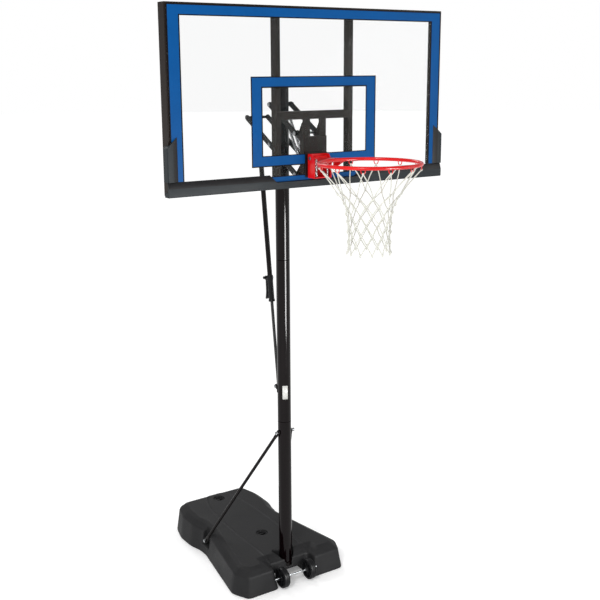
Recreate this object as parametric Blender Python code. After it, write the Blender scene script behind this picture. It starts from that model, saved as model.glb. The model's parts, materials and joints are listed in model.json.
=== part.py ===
"""Portable basketball hoop: a ballast tank on two wheels, a pole in three sections, a lift linkage,
a framed clear board with a moulded edge pad, and a rim that gives way and springs back.

Metres, +Z up. The player stands on the -Y side. Everything is laid out from the pole's axis, and the
empty "hoop" moves that axis so that the world's origin is under the middle of the object's box.
The board hangs at its lowest setting.
"""

from math import atan2, cos, hypot, pi, radians, sin

import bmesh
import bpy
from mathutils import Matrix, Vector

GAP = 0.0003            # between pieces that touch
RUNNING = 0.0003        # round a pin or a bolt, on the radius
ROUND = 16              # sides of a small round piece

# Rim, regulation size: the ring's tube centre stands this high at the lowest setting
RIM_HEIGHT = 2.288
RING_RADIUS = 0.2245
RING_TUBE = 0.008
RING_REACH = 0.412      # from the board's face to the ring's centre
HINGE_REACH = 0.024     # from the board's face to the breakaway pin
HOUSING_HALF = 0.049
RIM_BOLT = 0.0042
RIM_BOLT_HEAD = 0.0068
NET_LENGTH = 0.385
NET_WALL = 0.004

# Board
BOARD_WIDTH = 1.500
BOARD_HEIGHT = 0.792
RIM_ABOVE_EDGE = 0.125
SHEET_THICKNESS = 0.004
FRAME_LIP = 0.008       # the frame shows this much round the sheet
FRAME_WIDTH = 0.035
FRAME_DEPTH = 0.055
FRAME_WALL = 0.0018
STRUT_X = 0.203
STRUT_WIDTH = 0.025
STRUT_DEPTH = 0.040
CROSS_BAR_ABOVE_RIM = 0.175
CROSS_BAR_HEIGHT = 0.037
PAD_PROUD = 0.011
PAD_BACK = 0.030        # from the sheet's face to the pad's rear edge
PAD_SIDE = 0.014
PAD_FLOOR = 0.0033
PAD_COVER = 0.031       # how far the side pads come in over the sheet
PAD_LIP = 0.055         # these four are heights above the sheet's lower edge
PAD_CREASE = 0.027
PAD_TRAY = 0.023
SIDE_PAD_TOP = 0.199
SIDE_PAD_SLOPE = 0.90

# Parallelogram arms that carry the board
ARM_LENGTH = 0.257
ARM_REAR = 0.248
ARM_TILT = radians(29.5)
ARM_OFFSET = 0.021      # from the pole's side to the arm's inner face
ARM_SPACING = 0.192     # between the upper and the lower pivots
ARM_HEIGHT = 0.025
ARM_THICKNESS = 0.010
PIVOT_BACK = 0.010      # from the pole's axis back to the arms' pivots
PIVOT_TUBE = 0.0105
PIVOT_SETBACK = 0.0803  # from the front pivots to the board's face
RIM_ABOVE_PIVOT = 0.0849
BOLT_RADIUS = 0.006
BOLT_HEAD = 0.0105
BOLT_HEAD_HEIGHT = 0.006

# Pole
POLE_RADIUS = 0.035
POLE_WALL = 0.002
POLE_FOOT = 0.066
POLE_JOINTS = (0.888, 1.748)
SWAGE = 0.090
POLE_ABOVE_PIVOT = 0.098

# Lift strut between the lower arms' rear ends and the pole
LIFT_DROP = 1.260       # from the lower arm pivot down to the strut's foot
LIFT_SETBACK = 0.020    # from the pole's wall back to the strut's foot
LIFT_ROD = 0.008
LIFT_TUBE = 0.0125
LIFT_BORE = 0.0095
LIFT_ROD_LENGTH = 1.000
HANDLE_START = 0.448
HANDLE_LENGTH = 0.137
HANDLE_RADIUS = 0.0155
TRIGGER_OFFSET = 0.0245

# Base tank
BASE_FRONT = -0.108
BASE_REAR = 0.860
FRONT_HALF = 0.345
WAIST_HALF = 0.258
REAR_HALF = 0.278
WAIST_Y = 0.475
SIDE_HEIGHT = 0.104
CROWN_HEIGHT = 0.138
SIDE_DRAFT = 0.017
REAR_RISE = 0.28        # the tank gets this much taller from front to rear
NOTCH_HALF = 0.110
NOTCH_BACK = -0.047
TONGUE_UNDERSIDE = 0.055
CAP_RADIUS = 0.030
CAP_DEPTH = 0.019
CAP_PLACES = ((0.0, 0.245), (0.0, 0.738))
WHEEL_RADIUS = 0.055
WHEEL_WIDTH = 0.032
WHEEL_LIFT = 0.003
WHEEL_ROOM = 0.005      # between the tread and its arch
WHEEL_X = 0.084
AXLE_Y = -0.100
AXLE_RADIUS = 0.0055
AXLE_BURIED = 0.022
BRACE_RADIUS = 0.0085
BRACE_TOP = 0.832
BRACE_FOOT = (0.250, 0.447, 0.088)
BRACE_RECESS = 0.036    # from the brace's foot in to the wall that its bolt is screwed to

# Worked out from the values above
BOARD_FACE = PIVOT_BACK - ARM_LENGTH * cos(ARM_TILT) - PIVOT_SETBACK
BOARD_BOTTOM = RIM_HEIGHT - RIM_ABOVE_EDGE
BOARD_TOP = BOARD_BOTTOM + BOARD_HEIGHT
RING_CENTRE = BOARD_FACE - RING_REACH
FRAME_FRONT = BOARD_FACE + SHEET_THICKNESS + GAP
FRAME_BACK = FRAME_FRONT + FRAME_DEPTH
FRAME_HALF = BOARD_WIDTH / 2 + FRAME_LIP
FRAME_BOTTOM = BOARD_BOTTOM - FRAME_LIP
FRAME_TOP = BOARD_TOP + FRAME_LIP
FRONT_PIVOT = (BOARD_FACE + PIVOT_SETBACK, RIM_HEIGHT - RIM_ABOVE_PIVOT)
LOWER_PIVOT = (PIVOT_BACK, FRONT_PIVOT[1] + ARM_LENGTH * sin(ARM_TILT))
UPPER_PIVOT = (PIVOT_BACK, LOWER_PIVOT[1] + ARM_SPACING)
POLE_TOP = UPPER_PIVOT[1] + POLE_ABOVE_PIVOT
ARM_INNER = POLE_RADIUS + ARM_OFFSET
ARM_OUTER = ARM_INNER + ARM_THICKNESS
EAR_OUTER = ARM_INNER - 0.005
EAR_INNER = EAR_OUTER - 0.006
LIFT_TOP = (PIVOT_BACK + ARM_REAR * cos(ARM_TILT), LOWER_PIVOT[1] + ARM_REAR * sin(ARM_TILT))
LIFT_FOOT = (POLE_RADIUS + LIFT_SETBACK, LOWER_PIVOT[1] - LIFT_DROP)
LIFT_LENGTH = hypot(LIFT_TOP[0] - LIFT_FOOT[0], LIFT_TOP[1] - LIFT_FOOT[1])
LIFT_LEAN = atan2(LIFT_TOP[0] - LIFT_FOOT[0], LIFT_TOP[1] - LIFT_FOOT[1])
SPRING_ANCHOR = (-POLE_RADIUS - 0.015, UPPER_PIVOT[1] - 0.052)
HINGE = (BOARD_FACE - HINGE_REACH, RIM_HEIGHT - 0.003)
WHEEL_Z = WHEEL_RADIUS + WHEEL_LIFT
ORIGIN_SHIFT = -(RING_CENTRE - RING_RADIUS - RING_TUBE + BASE_REAR) / 2

PLANES = {"X": (1, 2, 0), "Y": (0, 2, 1), "Z": (0, 1, 2)}

finishes = {}
pivots = {}


# ---------------------------------------------------------------- helpers

def clear_scene():
    for block in (bpy.data.objects, bpy.data.meshes, bpy.data.materials):
        for item in list(block):
            block.remove(item)


def make_finish(name, colour, roughness, metallic=0.0, alpha=1.0):
    material = bpy.data.materials.new(name)
    material.use_nodes = True
    shader = material.node_tree.nodes["Principled BSDF"]
    shader.inputs["Base Color"].default_value = (*colour, 1.0)
    shader.inputs["Roughness"].default_value = roughness
    shader.inputs["Metallic"].default_value = metallic
    shader.inputs["Alpha"].default_value = alpha
    finishes[name] = material


def add_pivot(name, place, parent=None):
    """An empty at a joint's axis; place is measured from the pole's axis at floor level."""
    empty = bpy.data.objects.new(name, None)
    bpy.context.scene.collection.objects.link(empty)
    empty.parent = pivots[parent][0] if parent else None
    origin = Vector(place)
    empty.location = origin - (pivots[parent][1] if parent else Vector())
    pivots[name] = (empty, origin)


def link_mesh(name, mesh, pivot):
    """The mesh as an object whose origin is on its pivot."""
    empty, origin = pivots[pivot]
    data = bpy.data.meshes.new(name)
    bmesh.ops.recalc_face_normals(mesh, faces=mesh.faces[:])
    if mesh.calc_volume(signed=True) < 0:
        bmesh.ops.reverse_faces(mesh, faces=mesh.faces[:])
    mesh.to_mesh(data)
    mesh.free()
    data.transform(Matrix.Translation(-origin))
    data.shade_smooth()
    data.set_sharp_from_angle(angle=radians(32))
    piece = bpy.data.objects.new(name, data)
    bpy.context.scene.collection.objects.link(piece)
    piece.parent = empty
    return piece


def add_part(name, mesh, finish, pivot, cuts=(), joins=()):
    piece = link_mesh(name, mesh, pivot)
    piece.data.materials.append(finishes[finish])
    for operation, helpers in (("UNION", joins), ("DIFFERENCE", cuts)):
        for number, helper_mesh in enumerate(helpers):
            helper = link_mesh(f"{name}_{operation.lower()}_{number}", helper_mesh, pivot)
            helper.hide_render = True
            helper.display_type = "WIRE"
            boolean = piece.modifiers.new(helper.name, "BOOLEAN")
            boolean.operation = operation
            boolean.solver = "EXACT"
            boolean.object = helper
    return piece


def in_space(axis, u, v, w):
    """The point of a plane across the axis: (y, z) across X, (x, z) across Y, (x, y) across Z."""
    first, second, third = PLANES[axis]
    point = [0.0, 0.0, 0.0]
    point[first], point[second], point[third] = u, v, w
    return point


def plate(outline, axis, low, high, holes=()):
    """The outline, less its holes, thickened from low to high along the axis."""
    mesh = bmesh.new()
    edges = []
    for loop in (outline, *holes):
        verts = [mesh.verts.new(in_space(axis, u, v, low)) for u, v in loop]
        edges += [mesh.edges.new(pair) for pair in zip(verts, verts[1:] + verts[:1])]
    bmesh.ops.triangle_fill(mesh, edges=edges, use_beauty=True)
    made = bmesh.ops.extrude_face_region(mesh, geom=mesh.faces[:])
    moved = [item for item in made["geom"] if isinstance(item, bmesh.types.BMVert)]
    bmesh.ops.translate(mesh, vec=in_space(axis, 0, 0, high - low), verts=moved)
    return mesh


def block(x, y, z):
    """A box from three (low, high) pairs."""
    return plate([(x[0], y[0]), (x[1], y[0]), (x[1], y[1]), (x[0], y[1])], "Z", *z)


def circle(centre, radius, sides=ROUND):
    turns = [2 * pi * k / sides for k in range(sides)]
    return [(centre[0] + radius * cos(a), centre[1] + radius * sin(a)) for a in turns]


def arc(centre, radius, start, stop, steps):
    turns = [radians(start + (stop - start) * k / steps) for k in range(steps + 1)]
    return [(centre[0] + radius * cos(a), centre[1] + radius * sin(a)) for a in turns]


def turned(profile, start, direction, sides=ROUND):
    """A profile of (radius, height) points spun about the line from start along direction."""
    mesh = bmesh.new()
    verts = [mesh.verts.new((radius, 0, height)) for radius, height in profile]
    pairs = list(zip(verts, verts[1:]))
    if profile[0][0] > 0:
        pairs.append((verts[-1], verts[0]))
    edges = [mesh.edges.new(pair) for pair in pairs]
    bmesh.ops.spin(
        mesh, geom=verts + edges, axis=(0, 0, 1), cent=(0, 0, 0),
        angle=2 * pi, steps=sides, use_merge=True,
    )
    bmesh.ops.remove_doubles(mesh, verts=mesh.verts[:], dist=1e-6)
    turn = Vector(direction).to_track_quat("Z", "Y").to_matrix().to_4x4()
    mesh.transform(Matrix.Translation(start) @ turn)
    return mesh


def rod(start, stop, radius, sides=ROUND, bore=0.0):
    start, stop = Vector(start), Vector(stop)
    length = (stop - start).length
    profile = [(bore, 0), (radius, 0), (radius, length), (bore, length)]
    return turned(profile, start, stop - start, sides)


def cross_rod(centre, half, radius, sides=ROUND, bore=0.0):
    """A rod along X through the point (y, z), as far as half on each side."""
    return rod((-half, *centre), (half, *centre), radius, sides, bore)


def bolt(centre, half, radius, head):
    """A bolt along X through the point (y, z), with a domed head at one end and a nut at the other."""
    profile = [
        (0, -half - BOLT_HEAD_HEIGHT),
        (head, -half - BOLT_HEAD_HEIGHT * 0.5),
        (head, -half),
        (radius, -half),
        (radius, half),
        (head, half),
        (head, half + BOLT_HEAD_HEIGHT),
        (radius, half + BOLT_HEAD_HEIGHT),
        (radius, half + BOLT_HEAD_HEIGHT + 0.003),
        (0, half + BOLT_HEAD_HEIGHT + 0.003),
    ]
    return turned(profile, (0, *centre), (1, 0, 0), 12)


def bar_outline(start, stop, half):
    """A straight bar with round ends between two points of a plane."""
    lean = atan2(stop[1] - start[1], stop[0] - start[0]) * 180 / pi
    return arc(stop, half, lean - 90, lean + 90, 8) + arc(start, half, lean + 90, lean + 270, 8)


def mirrored(points):
    """The points, then their mirror images across the second coordinate's axis, in order."""
    return list(points) + [(-u, v) for u, v in reversed(points)]


def lofted(rings):
    """A closed skin over rings of points, each ring with the same number of points."""
    mesh = bmesh.new()
    loops = [[mesh.verts.new(point) for point in ring] for ring in rings]
    count = len(loops[0])
    for near, far in zip(loops, loops[1:]):
        for k in range(count):
            mesh.faces.new((near[k], near[(k + 1) % count], far[(k + 1) % count], far[k]))
    mesh.faces.new(loops[0])
    mesh.faces.new(loops[-1][::-1])
    return mesh


# ---------------------------------------------------------------- base

def base_outline():
    right = [
        (NOTCH_HALF, NOTCH_BACK),
        (NOTCH_HALF, BASE_FRONT),
        (FRONT_HALF - 0.045, BASE_FRONT),
        (FRONT_HALF, BASE_FRONT + 0.100),
        (WAIST_HALF, WAIST_Y - 0.035),
        (WAIST_HALF, WAIST_Y + 0.035),
        (REAR_HALF, WAIST_Y + 0.110),
        (REAR_HALF, BASE_REAR - 0.150),
        (REAR_HALF - 0.032, BASE_REAR - 0.035),
        (REAR_HALF - 0.078, BASE_REAR),
    ]
    return mirrored(right)


def inset(points, distance):
    """The closed outline moved inwards by the distance, corners kept sharp."""
    moved = []
    for before, here, after in zip(points[-1:] + points[:-1], points, points[1:] + points[:1]):
        into = (Vector(here) - Vector(before)).normalized()
        out = (Vector(after) - Vector(here)).normalized()
        normal_in, normal_out = Vector((-into.y, into.x)), Vector((-out.y, out.x))
        corner = Vector(here) + (normal_in + normal_out) * distance / (1 + normal_in.dot(normal_out))
        moved.append(tuple(corner))
    return moved


def rounded(points, radius):
    """The closed outline with each corner eased by three points, over no more than 0.4 of an edge."""
    eased = []
    for before, here, after in zip(points[-1:] + points[:-1], points, points[1:] + points[:1]):
        corner, back, ahead = Vector(here), Vector(before) - Vector(here), Vector(after) - Vector(here)
        start = corner + back.normalized() * min(radius, 0.4 * back.length)
        stop = corner + ahead.normalized() * min(radius, 0.4 * ahead.length)
        eased += [tuple(start), tuple((start + corner * 2 + stop) / 4), tuple(stop)]
    return eased


def rise(y):
    """The tank's height at y over its height at the front."""
    return 1 + REAR_RISE * (y - BASE_FRONT) / (BASE_REAR - BASE_FRONT)


def cap_seat(y):
    return CROWN_HEIGHT * rise(y) - CAP_DEPTH


def base_shell():
    """The tank: drawn-in sides, a rolled shoulder, and a top that rises in two soft steps."""
    layers = (
        (0.004, 0), (0, 0.005), (SIDE_DRAFT, SIDE_HEIGHT), (SIDE_DRAFT + 0.003, SIDE_HEIGHT + 0.006),
        (SIDE_DRAFT + 0.011, SIDE_HEIGHT + 0.011), (SIDE_DRAFT + 0.030, CROWN_HEIGHT - 0.010),
        (SIDE_DRAFT + 0.052, CROWN_HEIGHT),
    )
    outline = base_outline()
    return lofted([
        [(x, y, height * rise(y)) for x, y in rounded(inset(outline, inward), 0.018)]
        for inward, height in layers
    ])


def pole_wings():
    """The pockets that open backwards on each side of the pole's foot."""
    reach = POLE_RADIUS + 0.030
    pockets = []
    for side in (-1, 1):
        outline = [
            (0, 0),
            (side * POLE_RADIUS, -0.020),
            (side * reach, 0.030),
            (side * (reach - 0.014), 0.052),
        ]
        pockets.append(plate(outline, "Z", POLE_FOOT + 0.018, 0.3))
    return pockets


def build_base():
    x_foot, y_foot, z_foot = BRACE_FOOT
    cuts = [
        rod((0, 0, POLE_FOOT - GAP), (0, 0, 0.3), POLE_RADIUS + 0.0008, 32),
        block((-NOTCH_HALF + 0.004, NOTCH_HALF - 0.004), (NOTCH_BACK - 0.02, 0.062), (-0.01, TONGUE_UNDERSIDE)),
        cross_rod((AXLE_Y, WHEEL_Z), NOTCH_HALF + AXLE_BURIED + GAP, AXLE_RADIUS + RUNNING, 16),
    ]
    for side in (-1, 1):
        start, stop = side * (WHEEL_X - WHEEL_WIDTH / 2 - 0.006), side * NOTCH_HALF
        arch = rod((start, AXLE_Y, WHEEL_Z), (stop, AXLE_Y, WHEEL_Z), WHEEL_RADIUS + WHEEL_ROOM, 28)
        cuts.append(arch)
    cuts += pole_wings()
    cuts += [rod((x, y, cap_seat(y)), (x, y, 0.3), CAP_RADIUS + 0.002, ROUND) for x, y in CAP_PLACES]
    for side in (-1, 1):
        span = sorted((side * (x_foot - BRACE_RECESS), side * 0.4))
        cuts.append(block(span, (y_foot - 0.048, y_foot + 0.040), (z_foot - 0.035, 0.3)))
    add_part("base_tank", base_shell(), "tank_plastic", "hoop", cuts)


def build_caps():
    """Two screw caps over the filling holes, each in its own round recess."""
    for name, (x, y) in zip(("fill_cap_front", "fill_cap_rear"), CAP_PLACES):
        seat = cap_seat(y)
        add_pivot(name + "_seat", (x, y, seat), "hoop")
        profile = [(0, 0), (CAP_RADIUS, 0), (CAP_RADIUS, 0.006), (CAP_RADIUS - 0.002, 0.008), (0, 0.008)]
        grip = block((x - 0.018, x + 0.018), (y - 0.003, y + 0.003), (seat + 0.004, seat + 0.014))
        cap = turned(profile, (x, y, seat + GAP), (0, 0, 1))
        add_part(name, cap, "black_plastic", name + "_seat", joins=[grip])


def wheel_profile():
    half, hub = WHEEL_WIDTH / 2, AXLE_RADIUS + RUNNING
    return [
        (hub, -half), (0.016, -half), (0.018, -half + 0.010), (0.043, -half + 0.010),
        (0.046, -half + 0.001), (WHEEL_RADIUS - 0.004, -half), (WHEEL_RADIUS, -half + 0.005),
        (WHEEL_RADIUS, half - 0.005), (WHEEL_RADIUS - 0.004, half), (0.046, half - 0.001),
        (0.043, half - 0.010), (0.018, half - 0.010), (0.016, half), (hub, half),
    ]


def build_wheels():
    for side, name in ((-1, "wheel_left"), (1, "wheel_right")):
        centre = (side * WHEEL_X, AXLE_Y, WHEEL_Z)
        add_pivot(name + "_axis", centre, "hoop")
        add_part(name, turned(wheel_profile(), centre, (1, 0, 0), 24), "black_plastic", name + "_axis")
    axle = cross_rod((AXLE_Y, WHEEL_Z), NOTCH_HALF + AXLE_BURIED, AXLE_RADIUS, 20)
    add_part("wheel_axle", axle, "zinc", "hoop")


# ---------------------------------------------------------------- pole

def pole_section(bottom, top, swaged):
    """A tube; its upper end is drawn in so that the next section slides over it."""
    outer, inner = POLE_RADIUS, POLE_RADIUS - POLE_WALL
    neck = inner - GAP
    if not swaged:
        return [(inner, bottom), (outer, bottom), (outer, top), (inner, top)]
    return [
        (inner, bottom), (outer, bottom), (outer, top), (neck, top + 0.004), (neck, top + SWAGE),
        (neck - POLE_WALL, top + SWAGE), (neck - POLE_WALL, top + 0.002), (inner, top - 0.004),
    ]


def build_pole():
    low, middle = POLE_JOINTS
    brace_hole = cross_rod((0, BRACE_TOP), 0.1, 0.005 + RUNNING, 16)
    pivots_at = (LOWER_PIVOT, UPPER_PIVOT)
    bores = [cross_rod(place, 0.1, BOLT_RADIUS + RUNNING, 16) for place in pivots_at]
    cross_tubes = [cross_rod(place, ARM_INNER - GAP, PIVOT_TUBE, 18) for place in pivots_at]
    sections = (
        ("pole_lower", POLE_FOOT, low, True, [brace_hole], []),
        ("pole_middle", low + 0.006, middle, True, [], []),
        ("pole_upper", middle + 0.006, POLE_TOP, False, bores, cross_tubes),
    )
    for name, bottom, top, swaged, cuts, joins in sections:
        tube = turned(pole_section(bottom, top, swaged), (0, 0, 0), (0, 0, 1), 28)
        add_part(name, tube, "pole_paint", "hoop", cuts, joins)
    outer, inner = POLE_RADIUS + 0.001, POLE_RADIUS - POLE_WALL - GAP
    cap = [
        (0, POLE_TOP + GAP), (inner - 0.002, POLE_TOP - 0.020), (inner, POLE_TOP - 0.020),
        (inner, POLE_TOP + GAP), (outer, POLE_TOP + GAP), (outer, POLE_TOP + 0.005),
        (outer - 0.005, POLE_TOP + 0.010), (0, POLE_TOP + 0.012),
    ]
    add_part("pole_top_cap", turned(cap, (0, 0, 0), (0, 0, 1)), "black_plastic", "hoop")


def flattened_tube(foot, head, radius, flat=0.045):
    """A brace: a tube whose two ends are pressed flat, thin across X."""
    foot, head = Vector(foot), Vector(head)
    along = (head - foot).normalized()
    across = Vector((1, 0, 0))
    across = (across - along * across.dot(along)).normalized()
    wide = along.cross(across)
    length = (head - foot).length
    tab = 0.014
    stations = [
        (-tab, 0.0028, 0.007), (-tab + 0.005, 0.0028, 0.013), (tab, 0.0028, 0.013), (flat, radius, radius),
    ]
    stations += [(length - at, thin, half) for at, thin, half in reversed(stations)]
    rings = []
    for at, thin, half in stations:
        turns = [2 * pi * k / 12 for k in range(12)]
        rings.append([foot + along * at + across * thin * cos(a) + wide * half * sin(a) for a in turns])
    return lofted(rings)


def build_braces():
    """Two braces from the waist of the tank up to the pole, one bolt through the pole, one at each foot."""
    x_foot, y_foot, z_foot = BRACE_FOOT
    top_x = POLE_RADIUS + 0.006
    for side, name in ((-1, "left"), (1, "right")):
        foot = (side * x_foot, y_foot, z_foot)
        brace = flattened_tube(foot, (side * top_x, 0, BRACE_TOP), BRACE_RADIUS)
        cuts = [
            cross_rod((0, BRACE_TOP), 0.1, 0.005 + RUNNING, 16),
            cross_rod((y_foot, z_foot), 0.4, 0.005 + RUNNING, 16),
        ]
        add_part(f"base_brace_{name}", brace, "black_paint", "hoop", cuts)
        neck = BRACE_RECESS + 0.0070
        head = [
            (0, GAP), (0.005, GAP), (0.005, neck), (0.009, neck), (0.009, neck + 0.005),
            (0.006, neck + 0.007), (0, neck + 0.007),
        ]
        start = (side * (x_foot - BRACE_RECESS), y_foot, z_foot)
        add_part(f"brace_foot_bolt_{name}", turned(head, start, (side, 0, 0), 16), "zinc", "hoop")
    pole_bolt = bolt((0, BRACE_TOP), top_x + 0.011, 0.005, 0.009)
    add_part("brace_pole_bolt", pole_bolt, "zinc", "hoop")


# ---------------------------------------------------------------- arms

def build_arms():
    """Two pairs of flat arms; the lower pair reaches back past the pole to the lift strut."""
    hole = BOLT_RADIUS + RUNNING
    upper_front = (FRONT_PIVOT[0], FRONT_PIVOT[1] + ARM_SPACING)
    pin = [(0, 0), (0.007, 0), (0.007, ARM_INNER - 0.0135), (0, ARM_INNER - 0.0135)]
    for side, name in ((-1, "left"), (1, "right")):
        x = sorted((side * ARM_INNER, side * ARM_OUTER))
        holes = [circle(FRONT_PIVOT, hole, 16), circle(LOWER_PIVOT, hole, 16)]
        lower = plate(bar_outline(FRONT_PIVOT, LIFT_TOP, ARM_HEIGHT / 2), "X", *x, holes)
        stub = turned(pin, (side * (ARM_INNER + 0.001), *LIFT_TOP), (-side, 0, 0), 18)
        add_part(f"lower_arm_{name}", lower, "black_paint", "lower_arm_axis", joins=[stub])
        holes = [circle(upper_front, hole, 16), circle(UPPER_PIVOT, hole, 16)]
        upper = plate(bar_outline(upper_front, UPPER_PIVOT, ARM_HEIGHT / 2), "X", *x, holes)
        add_part(f"upper_arm_{name}", upper, "black_paint", "upper_arm_axis")
    half = ARM_OUTER + 0.001
    add_part("lower_pivot_bolt", bolt(LOWER_PIVOT, half, BOLT_RADIUS, BOLT_HEAD), "zinc", "hoop")
    add_part("upper_pivot_bolt", bolt(UPPER_PIVOT, half, BOLT_RADIUS, BOLT_HEAD), "zinc", "hoop")
    add_part("lower_front_bolt", bolt(FRONT_PIVOT, half, BOLT_RADIUS, BOLT_HEAD), "zinc", "board_axis")
    add_part("upper_front_bolt", bolt(upper_front, half, BOLT_RADIUS, BOLT_HEAD), "zinc", "board_axis")


def build_spring_bracket():
    """A lug on the pole's front that the two counterweight springs hook on."""
    y, z = SPRING_ANCHOR
    root = -POLE_RADIUS - GAP
    outline = [(root, z + 0.022), (root, z - 0.022), (y, z - 0.008), (y - 0.008, z), (y, z + 0.008)]
    lug = plate(outline, "X", -0.003, 0.003)
    pin = cross_rod(SPRING_ANCHOR, 0.022, 0.004, 14)
    add_part("spring_lug", lug, "black_paint", "hoop", joins=[pin])


def build_counter_springs():
    """Each spring's outer shape: a sleeve round the lug's pin line down to the board's lower bolt."""
    top, low = Vector((0, *SPRING_ANCHOR)), Vector((0, *FRONT_PIVOT))
    along = (low - top).normalized()
    for side, name in ((-1, "left"), (1, "right")):
        shift = Vector((side * 0.012, 0, 0))
        start, stop = top + along * 0.014 + shift, low - along * 0.014 + shift
        sleeve = rod(start, stop, 0.0078, 14, bore=0.0050)
        add_part(f"counter_spring_{name}", sleeve, "spring_steel", "counter_spring_axis")


# ---------------------------------------------------------------- lift strut

def on_strut(along, behind=0.0):
    """The point (y, z) that far up the strut from its foot, and that far behind its line."""
    y = LIFT_FOOT[0] + along * sin(LIFT_LEAN) + behind * cos(LIFT_LEAN)
    z = LIFT_FOOT[1] + along * cos(LIFT_LEAN) - behind * sin(LIFT_LEAN)
    return (y, z)


def build_lift_foot():
    """A saddle welded to the pole's back, with two ears that hold the strut's foot."""
    y, z = LIFT_FOOT
    wall = POLE_RADIUS + GAP
    ears = []
    for side in (-1, 1):
        outline = [(wall - 0.0008, z - 0.020), (wall - 0.0008, z + 0.020)]
        outline += arc((y, z), 0.012, 60, -60, 6)
        ears.append(plate(outline, "X", *sorted((side * 0.0125, side * 0.0165))))
    ring = circle((0, 0), POLE_RADIUS + 0.0035, 28)
    saddle = plate(ring, "Z", z - 0.020, z + 0.020, [circle((0, 0), wall + 0.0003, 28)])
    cuts = [rod((-0.1, y, z), (0.1, y, z), 0.005 + RUNNING, 16)]
    cuts.append(block((-0.05, 0.05), (-0.05, 0.014), (z - 0.03, z + 0.03)))
    add_part("lift_foot_clamp", saddle, "black_paint", "hoop", cuts, ears)
    add_part("lift_foot_bolt", bolt(LIFT_FOOT, 0.020, 0.005, 0.0085), "zinc", "hoop")


def build_lift_rod():
    start, stop = (0, *on_strut(0)), (0, *on_strut(LIFT_ROD_LENGTH))
    shaft = rod(start, stop, LIFT_ROD, 20)
    eye = cross_rod(LIFT_FOOT, 0.0118, 0.0115, 20)
    cuts = [cross_rod(LIFT_FOOT, 0.05, 0.005 + RUNNING, 16)]
    add_part("lift_rod", shaft, "zinc", "lift_axis", cuts, [eye])


def build_lift_tube():
    start = (0, *on_strut(HANDLE_START + 0.004))
    neck = (0, *on_strut(LIFT_LENGTH - 0.014))
    tube = rod(start, neck, LIFT_TUBE, 20, bore=LIFT_BORE)
    eye = cross_rod(LIFT_TOP, 0.0118, 0.0155, 20)
    add_part("lift_tube", tube, "black_paint", "lift_axis", joins=[eye])


def build_handle():
    """The grip at the tube's lower end, its lock lever, and the lever's pin with two round ends."""
    start = Vector((0, *on_strut(HANDLE_START)))
    along = Vector((0, *on_strut(HANDLE_START + HANDLE_LENGTH))) - start
    inner, outer, length = LIFT_TUBE + GAP, HANDLE_RADIUS, HANDLE_LENGTH
    profile = [
        (inner, 0), (outer, 0), (outer + 0.002, 0.004), (outer - 0.001, 0.016), (outer - 0.001, length - 0.030),
        (outer + 0.002, length - 0.012), (outer, length), (inner, length),
    ]
    pin_at = on_strut(HANDLE_START + length - 0.012, TRIGGER_OFFSET)
    ears = []
    for side in (-1, 1):
        outline = [
            on_strut(HANDLE_START + length - 0.026, 0.0105),
            on_strut(HANDLE_START + length - 0.024, TRIGGER_OFFSET + 0.004),
            on_strut(HANDLE_START + length - 0.012, TRIGGER_OFFSET + 0.009),
            on_strut(HANDLE_START + length - 0.002, TRIGGER_OFFSET + 0.002),
            on_strut(HANDLE_START + length - 0.002, 0.0105),
        ]
        ears.append(plate(outline, "X", *sorted((side * 0.0095, side * 0.0135))))
    grip = turned(profile, start, along, ROUND)
    cuts = [cross_rod(pin_at, 0.05, 0.0035 + RUNNING, 14)]
    add_part("lift_handle", grip, "black_plastic", "lift_axis", cuts, ears)
    ball = [
        (0, -0.0270), (0.0060, -0.0252), (0.0085, -0.0210), (0.0060, -0.0160), (0.0035, -0.0144),
        (0.0035, 0.0144), (0.0060, 0.0160), (0.0085, 0.0210), (0.0060, 0.0252), (0, 0.0270),
    ]
    add_part("trigger_pin", turned(ball, (0, *pin_at), (1, 0, 0), 16), "black_plastic", "lift_axis")
    add_pivot("trigger_axis", (0, *pin_at), "lift_axis")
    top = HANDLE_START + length - 0.012
    outline = [
        on_strut(top + 0.006, TRIGGER_OFFSET + 0.003), on_strut(top + 0.003, TRIGGER_OFFSET - 0.006),
        on_strut(top - 0.020, TRIGGER_OFFSET - 0.003), on_strut(top - 0.077, 0.028),
        on_strut(top - 0.101, 0.033), on_strut(top - 0.111, 0.039), on_strut(top - 0.114, 0.044),
        on_strut(top - 0.108, 0.046), on_strut(top - 0.094, 0.041), on_strut(top - 0.073, 0.036),
        on_strut(top - 0.020, TRIGGER_OFFSET + 0.008), on_strut(top - 0.002, TRIGGER_OFFSET + 0.007),
    ]
    hole = [circle(pin_at, 0.0035 + RUNNING, 14)]
    add_part("lift_trigger", plate(outline, "X", -0.0088, 0.0088, hole), "black_plastic", "trigger_axis")


# ---------------------------------------------------------------- board

def hollow_tube(axis, span, across, closed_top=False):
    """A rectangular tube along X or Z; across is its two (low, high) pairs, in the plane's own order."""
    (u0, u1), (v0, v1) = across
    outline = [(u0, v0), (u1, v0), (u1, v1), (u0, v1)]
    inner = [
        (u0 + FRAME_WALL, v0 + FRAME_WALL), (u1 - FRAME_WALL, v0 + FRAME_WALL),
        (u1 - FRAME_WALL, v1 - FRAME_WALL), (u0 + FRAME_WALL, v1 - FRAME_WALL),
    ]
    if not closed_top:
        return plate(outline, axis, *span, [inner]), []
    return plate(outline, axis, *span), [plate(inner, axis, span[0] - 0.01, span[1] - FRAME_WALL)]


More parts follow.
